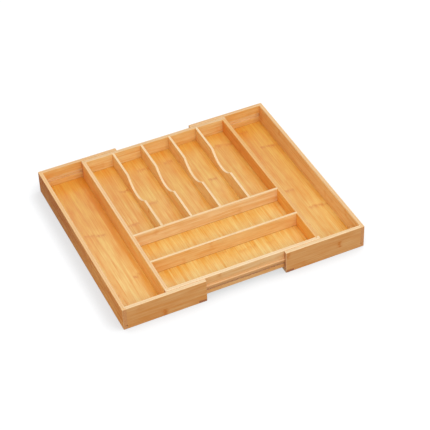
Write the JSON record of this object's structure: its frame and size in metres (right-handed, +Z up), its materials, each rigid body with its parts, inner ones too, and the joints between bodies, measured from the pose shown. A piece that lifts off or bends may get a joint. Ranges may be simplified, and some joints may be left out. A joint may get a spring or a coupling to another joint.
{
  "type": "expandable cutlery tray",
  "caption": "Expandable bamboo cutlery tray: a divided centre tray with waved finger dips, and a side drawer that slides out on a tongue and groove at each end.",
  "frame": {"origin": "on the ground under the middle of the tray, with both drawers pulled out", "axes": "+X to the right across the tray, +Y to the back along the cutlery slots, +Z up"},
  "size_m": [0.505, 0.445, 0.05],
  "materials": {
    "bamboo_board": "satin lacquer",
    "bamboo_panel": "satin lacquer",
    "bamboo_divider": "satin lacquer",
    "bamboo_strip": "satin lacquer"
  },
  "bodies": {
    "centre_tray": {"centre_floor": "bamboo_panel", "centre_front_wall": "bamboo_board", "centre_back_wall": "bamboo_board", "centre_left_wall": "bamboo_board", "centre_right_wall": "bamboo_board", "front_slide_tongue": "bamboo_strip", "back_slide_tongue": "bamboo_strip", "rear_cross_divider": "bamboo_divider", "front_cross_divider": "bamboo_divider", "slot_divider_1": "bamboo_divider", "slot_divider_2": "bamboo_divider", "slot_divider_3": "bamboo_divider", "slot_divider_4": "bamboo_divider"},
    "left_drawer": {"left_side_wall": "bamboo_board", "left_front_wall": "bamboo_board", "left_back_wall": "bamboo_board", "left_floor": "bamboo_panel", "left_stop_batten": "bamboo_strip", "left_bottom_rail": "bamboo_strip"},
    "right_drawer": {"right_side_wall": "bamboo_board", "right_front_wall": "bamboo_board", "right_back_wall": "bamboo_board", "right_floor": "bamboo_panel", "right_stop_batten": "bamboo_strip", "right_bottom_rail": "bamboo_strip"}
  },
  "joints": [
    {"name": "left_drawer_slide", "type": "slide", "parent": "centre_tray", "child": "left_drawer", "axis": [1, 0, 0], "range_m": [0, 0.0825]},
    {"name": "right_drawer_slide", "type": "slide", "parent": "centre_tray", "child": "right_drawer", "axis": [-1, 0, 0], "range_m": [0, 0.0825]}
  ]
}
